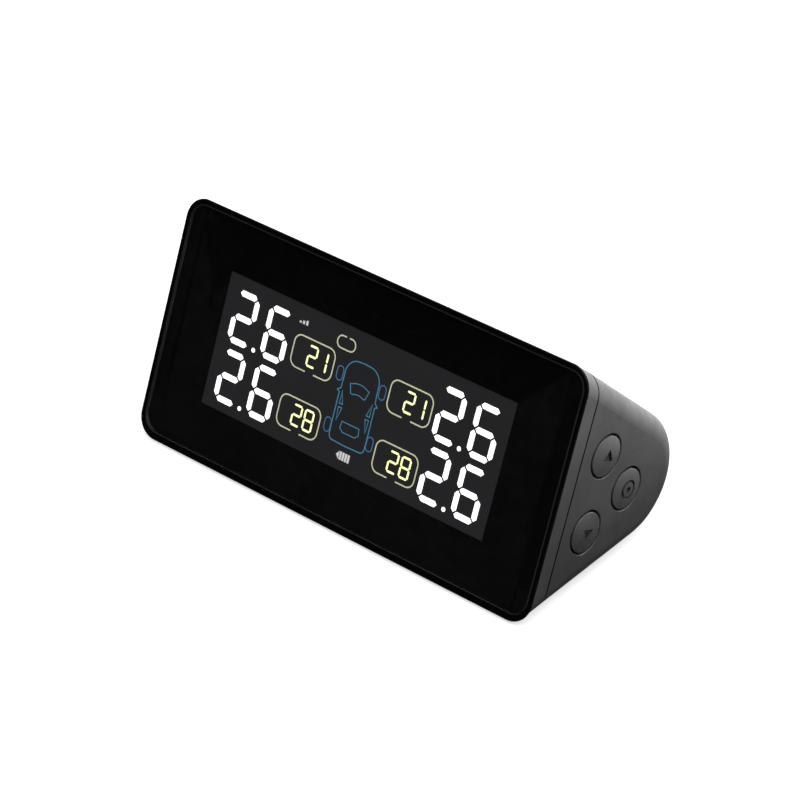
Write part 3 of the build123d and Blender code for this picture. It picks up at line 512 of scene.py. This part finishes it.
dress({
    "clear_cover": cover_acrylic(),
    "mask_black": mask_ink(),
    "case_black": case_plastic(),
    "guide_black": moulded("guide black", (0.03, 0.03, 0.032), (0.05, 0.05, 0.052), 0.5),
    "button_black": button_plastic(),
    "polariser_grey": polariser_film(),
    "cell_glass": cell_glass(),
    "contact_rubber": contact_rubber(),
    "guide_clear": light_guide_plastic(),
    "white_film": white_film("reflector film"),
    "white_plastic": moulded("tray white", (0.7, 0.7, 0.68), (0.8, 0.8, 0.78), 0.42),
    "led_white": moulded("led package", (0.75, 0.7, 0.4), (0.85, 0.82, 0.55), 0.35, 0.3),
    "board_green": solder_mask(),
    "screw_steel": metal("zinc screw", (0.5, 0.5, 0.52), (0.68, 0.68, 0.7), 0.3),
    "chip_black": moulded("chip epoxy", (0.02, 0.02, 0.021), (0.035, 0.035, 0.036), 0.55, 0.1, 0.01),
    "ceramic_tan": moulded("ceramic", (0.36, 0.25, 0.16), (0.5, 0.38, 0.26), 0.5, 0.15),
    "can_steel": metal("nickel can", (0.55, 0.54, 0.52), (0.74, 0.73, 0.7), 0.26, (1.0, 6.0, 6.0)),
    "coil_copper": metal("copper wire", (0.5, 0.2, 0.08), (0.7, 0.33, 0.16), 0.25),
    "buzzer_black": moulded("buzzer black", (0.02, 0.02, 0.02), (0.035, 0.035, 0.035), 0.4),
    "connector_cream": moulded("connector nylon", (0.6, 0.56, 0.46), (0.72, 0.68, 0.58), 0.48),
    "header_black": moulded("header black", (0.02, 0.02, 0.021), (0.03, 0.03, 0.031), 0.5),
    "switch_black": moulded("switch black", (0.03, 0.03, 0.031), (0.045, 0.045, 0.046), 0.45),
    "plunger_grey": moulded("plunger grey", (0.2, 0.2, 0.21), (0.28, 0.28, 0.29), 0.4),
    "pouch_foil": pouch_foil(),
    "foam_black": foam_tape(),
    "wire_red": wire_sleeve(),
    "tape_white": white_film("adhesive tape"),
    "backing_dark": moulded("panel backing", (0.02, 0.025, 0.035), (0.035, 0.04, 0.05), 0.4, 0.4),
    "cell_blue": solar_silicon(),
    "resin_clear": resin(),
    "pad_black": pad_rubber(),
})
bezel_finish = bezel_plastic().block
for place in frame["nodes"]["front_bezel"].material_slots:
    place.material = bezel_finish


# ------------------------------------------------------------------ display graphics

PRINT_LIFT = 0.012
PRINT_T = 0.012
MERGE = 0.002


def arc(centre, radius, start, end, steps=8):
    """Points on an arc, angles in degrees."""
    turns = [radians(start + (end - start) * step / steps) for step in range(steps + 1)]
    return [(centre[0] + radius * cos(turn), centre[1] + radius * sin(turn)) for turn in turns]


def ribbon(points, width, closed=False):
    """Quads that follow a path with mitred joints."""
    count = len(points)
    sides = []
    for index, (x, y) in enumerate(points):
        before = points[index - 1] if index or closed else None
        after = points[(index + 1) % count] if index < count - 1 or closed else None
        headings = []
        for start, end in ((before, (x, y)), ((x, y), after)):
            if start and end:
                headings.append(atan2(end[1] - start[1], end[0] - start[0]))
        first, last = headings[0], headings[-1]
        turn = (last - first + pi) % (2 * pi) - pi
        normal = first + turn / 2 + pi / 2
        reach = width / 2 / max(cos(turn / 2), MITRE_LIMIT)
        dx, dy = reach * cos(normal), reach * sin(normal)
        sides.append(((x + dx, y + dy), (x - dx, y - dy)))
    quads = []
    for index in range(count if closed else count - 1):
        near, far = sides[index], sides[(index + 1) % count]
        quads.append([near[0], near[1], far[1], far[0]])
    return quads


def printed(name, faces, finish, layer=0):
    """A thin printed sheet laid on the display cell, from flat faces in millimetres."""
    build = bmesh.new()
    for outline in faces:
        lift = PRINT_LIFT * (1 + layer)
        places = [(x + GRAPHICS_ACROSS, y + GRAPHICS_RISE) for x, y in outline]
        corners = [build.verts.new(cell.point(x, y, lift)) for x, y in places]
        build.faces.new(corners)
    bmesh.ops.remove_doubles(build, verts=build.verts, dist=MERGE * MM)
    raised = bmesh.ops.extrude_face_region(build, geom=build.faces[:])
    lifted = [item for item in raised["geom"] if isinstance(item, bmesh.types.BMVert)]
    bmesh.ops.translate(build, verts=lifted, vec=cell.out * PRINT_T * MM)
    bmesh.ops.recalc_face_normals(build, faces=build.faces)
    mesh = bpy.data.meshes.new(name)
    build.to_mesh(mesh)
    build.free()
    mesh.materials.append(finish.block)
    piece = bpy.data.objects.new(name, mesh)
    bpy.context.scene.collection.objects.link(piece)
    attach(piece, CASE)


SEGMENTS_LIT = {"1": "bc", "2": "abged", "6": "acdefg", "8": "abcdefg"}
TIP_SHARE = 0.46
MITRE_LIMIT = 0.5


def digit(figure, left, top, width, height, stroke, gap):
    """The lit segments of one seven-segment figure, as pointed bars."""
    half = stroke / 2
    tip = stroke * TIP_SHARE
    x_left, x_right = left + half, left + width - half
    y_top, y_low = top - half, top - height + half
    y_middle = (y_top + y_low) / 2
    runs = {
        "a": ((x_left, y_top), (x_right, y_top)),
        "g": ((x_left, y_middle), (x_right, y_middle)),
        "d": ((x_left, y_low), (x_right, y_low)),
        "f": ((x_left, y_middle), (x_left, y_top)),
        "b": ((x_right, y_middle), (x_right, y_top)),
        "e": ((x_left, y_low), (x_left, y_middle)),
        "c": ((x_right, y_low), (x_right, y_middle)),
    }
    faces = []
    for segment in SEGMENTS_LIT[figure]:
        (x0, y0), (x1, y1) = runs[segment]
        if y0 == y1:
            x0, x1 = x0 + gap, x1 - gap
            faces.append([
                (x0, y0), (x0 + tip, y0 + half), (x1 - tip, y0 + half),
                (x1, y0), (x1 - tip, y0 - half), (x0 + tip, y0 - half),
            ])
        else:
            y0, y1 = y0 + gap, y1 - gap
            faces.append([
                (x0, y0), (x0 + half, y0 + tip), (x0 + half, y1 - tip),
                (x0, y1), (x0 - half, y1 - tip), (x0 - half, y0 + tip),
            ])
    return faces


def rounded_box(left, right, low, top, radius):
    """A closed rounded outline, counter-clockwise from the middle of its low edge."""
    middle = (left + right) / 2
    return (
        [(middle, low)]
        + arc((right - radius, low + radius), radius, -90, 0)
        + arc((right - radius, top - radius), radius, 0, 90)
        + arc((left + radius, top - radius), radius, 90, 180)
        + arc((left + radius, low + radius), radius, 180, 270)
    )


def open_box(left, right, low, top, radius, gap_left, gap_right, gap_on_top=False):
    """A rounded outline with a gap in its low or top edge."""
    box = rounded_box(left, right, low, top, radius)[1:]
    if gap_on_top:
        box = [(x, low + top - y) for x, y in box]
        return [(gap_right, top)] + box + [(gap_left, top)]
    return [(gap_right, low)] + box + [(gap_left, low)]


ROW_PITCH = 11.8
PRESSURE_W, PRESSURE_H, PRESSURE_STROKE, PRESSURE_GAP = 6.0, 10.5, 1.18, 0.27
PRESSURE_LEFTS = {"left": (-32.85, -24.35), "right": (18.6, 26.95)}
PRESSURE_TOP = 10.75
DOT_X = {"left": -25.9, "right": 25.4}
DOT_SIZE = 0.95
HEAT_W, HEAT_H, HEAT_STROKE, HEAT_GAP = 2.45, 4.3, 0.42, 0.05
HEAT_BELOW_BOX_TOP = 0.95
HEAT_TO_BOX_RIGHT = 1.45
HEAT_NARROW_LEFT = 3.7
HEAT_PITCH = 2.95
BOX_W, BOX_H, BOX_R, BOX_LINE = 10.2, 6.3, 1.65, 0.27
BOX_TOP = 7.65
BOX_LEFTS = {"left": -16.8, "right": 7.35}
BOX_GAP = (4.0, 6.1)
HEAT_FIGURES = ("21", "28")
CAR_X, CAR_HALF_W = 0.55, 4.2
CAR_NOSE, CAR_TAIL = 7.7, -8.55
CAR_LINE = 0.22
GLASS_LINE = CAR_LINE * 0.85
WHEEL_IN, WHEEL_OUT, WHEEL_L, WHEEL_R = 0.3, 1.8, 2.75, 0.74
WHEEL_TOPS = (5.45, -4.7)
SMALL_BAR_W = 0.5
CHARGE_LOW, CHARGE_HIGH = -11.35, -9.75
CHARGE_TIP = (-1.15, -10.55)
CHARGE_LEFT, CHARGE_PITCH, CHARGE_BARS = -0.3, 0.65, 4
LEVEL_LOW = 9.7
LEVEL_LEFT, LEVEL_PITCH = -16.7, 0.8
LEVEL_HEIGHTS = (0.4, 0.65, 0.9)


def draw_pressures(white):
    """The four large figures, two on each side, each with its point."""
    for side, lefts in PRESSURE_LEFTS.items():
        for row in range(2):
            top = PRESSURE_TOP - row * ROW_PITCH
            faces = []
            for figure, left in zip("26", lefts):
                size = (PRESSURE_W, PRESSURE_H, PRESSURE_STROKE, PRESSURE_GAP)
                faces += digit(figure, left, top, *size)
            dot_centre = (DOT_X[side], top - PRESSURE_H + DOT_SIZE / 2)
            faces.append(arc(dot_centre, DOT_SIZE / 2, 0, 315, 7))
            printed(f"pressure_figures_{side}_{row + 1}", faces, white)


def draw_temperatures(line, figure_finish):
    """The four small figures, each in an open rounded box."""
    for side, left in BOX_LEFTS.items():
        for row, figures in enumerate(HEAT_FIGURES):
            top = BOX_TOP - row * ROW_PITCH
            low = top - BOX_H
            gap = (left + BOX_GAP[0], left + BOX_GAP[1])
            outline = open_box(left, left + BOX_W, low, top, BOX_R, *gap)
            printed(f"temperature_box_{side}_{row + 1}", ribbon(outline, BOX_LINE), line)
            second = left + BOX_W - HEAT_TO_BOX_RIGHT - HEAT_W
            first = left + HEAT_NARROW_LEFT if figures[1] == "1" else second - HEAT_PITCH
            figure_top = top - HEAT_BELOW_BOX_TOP
            size = (HEAT_W, HEAT_H, HEAT_STROKE, HEAT_GAP)
            faces = digit(figures[0], first, figure_top, *size)
            faces += digit(figures[1], second, figure_top, *size)
            printed(f"temperature_figures_{side}_{row + 1}", faces, figure_finish)


def mirrored(points):
    """The same points on the other side of the car's middle."""
    return [(2 * CAR_X - x, y) for x, y in points]


def draw_vehicle(body_line, wheel_line):
    """A generic vehicle seen from above, in thin outlines."""
    x, side = CAR_X, CAR_X + CAR_HALF_W
    half_body = (
        [(x, CAR_NOSE), (x + 1.3, CAR_NOSE - 0.08)]
        + arc((x + 1.3, CAR_NOSE - 2.95), 2.87, 82, 8, 7)
        + [(side - 0.05, 3.4), (side + 0.05, 1.6), (side + 0.75, 1.0)]
        + [(side + 0.2, 0.75), (side + 0.2, -5.6)]
        + arc((side - 0.85, CAR_TAIL + 1.1), 1.0, -8, -80, 5)
        + [(x, CAR_TAIL)]
    )
    faces = ribbon(half_body + mirrored(half_body)[-2:0:-1], CAR_LINE, closed=True)
    windscreen = (
        [(x - 2.35, 3.1)] + arc((x, -0.7), 4.35, 118, 62, 8) + [(x + 2.35, 3.1)]
        + [(x + 1.75, 1.35)] + arc((x, -1.6), 3.2, 66, 114, 6) + [(x - 1.75, 1.35)]
    )
    rear_window = [
        (x - 2.1, -4.3), (x + 2.1, -4.3), (x + 2.3, -5.6),
        (x + 1.5, -6.25), (x - 1.5, -6.25), (x - 2.3, -5.6),
    ]
    front_glass = [(x + 3.75, 1.2), (x + 3.75, -1.3), (x + 2.95, -1.3)]
    rear_glass = [(x + 3.75, -2.0), (x + 2.9, -2.0), (x + 3.6, -4.6)]
    glasses = [windscreen, rear_window]
    for shape in (front_glass, rear_glass):
        glasses += [shape, mirrored(shape)]
    for shape in glasses:
        faces += ribbon(shape, GLASS_LINE, closed=True)
    printed("vehicle_outline", faces, body_line)
    wheels = []
    for top in WHEEL_TOPS:
        wheel = rounded_box(side + WHEEL_IN, side + WHEEL_OUT, top - WHEEL_L, top, WHEEL_R)
        for shape in (wheel, mirrored(wheel)):
            wheels += ribbon(shape, CAR_LINE, closed=True)
    printed("vehicle_wheels", wheels, wheel_line, layer=1)


def small_bar(left, low, high):
    """One upright bar of the small marks."""
    right = left + SMALL_BAR_W
    return [(left, low), (right, low), (right, high), (left, high)]


def draw_marks(line, white):
    """The small marks: a pill outline, a charge level and three rising bars."""
    pill = open_box(-7.05, -2.65, 8.6, 10.95, 1.12, -5.1, -4.4, gap_on_top=True)
    printed("pill_mark", ribbon(pill, BOX_LINE), line)
    tip = [CHARGE_TIP, (-0.45, CHARGE_HIGH), (-0.45, CHARGE_LOW)]
    lefts = [CHARGE_LEFT + step * CHARGE_PITCH for step in range(CHARGE_BARS)]
    bars = [small_bar(left, CHARGE_LOW, CHARGE_HIGH) for left in lefts]
    printed("charge_mark", [tip] + bars, white)
    steps = []
    for step, height in enumerate(LEVEL_HEIGHTS):
        steps.append(small_bar(LEVEL_LEFT + step * LEVEL_PITCH, LEVEL_LOW, LEVEL_LOW + height))
    printed("level_mark", steps, white)


segment_white = lit_segment("segment white", (1.0, 1.0, 1.0), 1.05, 0.96)
mark_white = lit_segment("segment grey", (0.42, 0.42, 0.43), 0.9, 0.9)
segment_yellow = lit_segment("segment yellow", (0.82, 0.85, 0.42), 1.0, 0.92)
line_pale = lit_segment("line pale", (0.4, 0.4, 0.27), 0.85, 0.9)
line_blue = lit_segment("line blue", (0.045, 0.14, 0.22), 0.85, 0.8)
line_deep_blue = lit_segment("line deep blue", (0.04, 0.1, 0.2), 0.85, 0.8)
draw_pressures(segment_white)
draw_temperatures(line_pale, segment_yellow)
draw_vehicle(line_blue, line_deep_blue)
draw_marks(line_pale, mark_white)


# ------------------------------------------------------------------ studio

CAMERA_AZIMUTH, CAMERA_ELEVATION, CAMERA_ROLL = 44.0, 35.6, 3.96
CAMERA_DISTANCE = 0.62467
CAMERA_LENS = 153.0
AIM_RIGHT, AIM_UP = 0.00856, 0.00046
FLOOR_SIZE = 6.0
FLOOR_GLOW = 0.62
# Painted shadow on the floor for reflections and bounce: it fades from dark to grey over this span
# along SHADE_DIRECTION.
FLOOR_SHADOW_TO_GREY = (0.04, 0.13)  # metres along SHADE_DIRECTION
# Painted pool of light on the floor for reflections and bounce: it rises from grey to pale over this
# span along Y.
FLOOR_GREY_TO_LIGHT_POOL = (0.03, 0.08)  # metres along Y
SHADE_DIRECTION = (0.9, 0.43, 0)


def direction(azimuth, elevation):
    """Unit vector from the object towards a place in the studio, in degrees."""
    a, e = radians(azimuth), radians(elevation)
    return Vector((sin(a) * cos(e), -cos(a) * cos(e), sin(e)))


def make_camera(centre):
    """A long lens at the display's front right, looking a little beside the cover's middle."""
    back = direction(CAMERA_AZIMUTH, CAMERA_ELEVATION)
    right = Vector((0, 0, 1)).cross(back).normalized()
    up = back.cross(right)
    roll = Matrix.Rotation(-radians(CAMERA_ROLL), 3, back)
    right, up = roll @ right, roll @ up
    aim = centre + right * AIM_RIGHT + up * AIM_UP
    data = bpy.data.cameras.new("camera")
    data.lens = CAMERA_LENS
    data.clip_start, data.clip_end = 0.01, 50.0
    camera = bpy.data.objects.new("camera", data)
    pose = Matrix((right, up, back)).transposed().to_4x4()
    pose.translation = aim + back * CAMERA_DISTANCE
    camera.matrix_world = pose
    bpy.context.scene.collection.objects.link(camera)
    bpy.context.scene.camera = camera


def softbox(name, centre, azimuth, elevation, distance, size, power):
    """A soft white rectangle of light aimed at the centre."""
    data = bpy.data.lights.new(name, "AREA")
    data.shape = "RECTANGLE"
    data.size, data.size_y = size
    data.energy = power
    lamp = bpy.data.objects.new(name, data)
    back = direction(azimuth, elevation)
    lamp.location = centre + back * distance
    lamp.rotation_euler = back.to_track_quat("Z", "Y").to_euler()
    bpy.context.scene.collection.objects.link(lamp)


def make_floor(height):
    """Pale paper to the camera; other rays see a painted shadow on it in front of the object and a
    painted pool of light behind it.
    """
    build = bmesh.new()
    bmesh.ops.create_grid(build, x_segments=8, y_segments=8, size=FLOOR_SIZE / 2)
    mesh = bpy.data.meshes.new("floor")
    build.to_mesh(mesh)
    build.free()
    floor = bpy.data.objects.new("floor", mesh)
    floor.location = (0, 0, height)
    mat = Material("floor paper")
    paper = mat.mix(mat.band(mat.noise(200.0), 0.3, 0.7), (0.4, 0.4, 0.4), (0.42, 0.42, 0.42))
    seen = mat.node("ShaderNodeLightPath").outputs["Is Camera Ray"]
    # Painted light for non-camera rays only: a painted shadow near the object fading out along
    # SHADE_DIRECTION, and a painted pool of light behind it.
    shade = mat.band(mat.along(SHADE_DIRECTION), *FLOOR_SHADOW_TO_GREY)
    light_pool_behind = mat.band(mat.along((0, 1, 0)), *FLOOR_GREY_TO_LIGHT_POOL)
    painted_bounce = mat.mix(shade, (0.04, 0.04, 0.04), (0.42, 0.42, 0.42))
    painted_bounce = mat.mix(light_pool_behind, painted_bounce, (0.95, 0.95, 0.95))
    mat.colour(mat.mix(seen, painted_bounce, paper))
    glow = mat.math("MULTIPLY", seen, FLOOR_GLOW)
    mat.link(glow, mat.shader.inputs["Emission Strength"])
    mat.set(Emission_Color=(1.0, 1.0, 1.0, 1.0), Roughness=0.9, Specular_IOR_Level=0.1)
    mesh.materials.append(mat.block)
    bpy.context.scene.collection.objects.link(floor)


def make_world():
    """A pale backdrop to the camera; reflections see a room bright behind and above."""
    world = bpy.data.worlds.new("studio")
    world.use_nodes = True
    nodes, links = world.node_tree.nodes, world.node_tree.links
    room = nodes["Background"]
    sight = nodes.new("ShaderNodeBackground")
    sight.inputs["Color"].default_value = (0.93, 0.93, 0.93, 1.0)
    place = nodes.new("ShaderNodeTexCoord")
    ramp = nodes.new("ShaderNodeValToRGB")
    ramp.color_ramp.elements[0].position = 0.15
    ramp.color_ramp.elements[0].color = (0.012, 0.012, 0.013, 1.0)
    ramp.color_ramp.elements[1].position = 0.85
    ramp.color_ramp.elements[1].color = (2.0, 2.0, 2.02, 1.0)
    rays = nodes.new("ShaderNodeLightPath")
    blend = nodes.new("ShaderNodeMixShader")
    brightest = nodes.new("ShaderNodeVectorMath")
    brightest.operation = "DOT_PRODUCT"
    brightest.inputs[1].default_value = Vector((0.25, 0.85, 0.45)).normalized()
    links.new(place.outputs["Generated"], brightest.inputs[0])
    links.new(brightest.outputs["Value"], ramp.inputs["Fac"])
    links.new(ramp.outputs["Color"], room.inputs["Color"])
    links.new(rays.outputs["Is Camera Ray"], blend.inputs["Fac"])
    links.new(room.outputs["Background"], blend.inputs[1])
    links.new(sight.outputs["Background"], blend.inputs[2])
    links.new(blend.outputs["Shader"], nodes["World Output"].inputs["Surface"])
    bpy.context.scene.world = world


middle = (Vector(cad_low) + Vector(cad_high)) / 2
make_camera(cover.origin)
make_floor(cad_low[2])
make_world()
softbox("overhead", middle, 60, 78, 0.9, (1.2, 1.2), 15.0)
softbox("back rim", middle, 190, 12, 0.8, (1.1, 0.3), 5.0)
bpy.context.scene.view_settings.view_transform = "Standard"
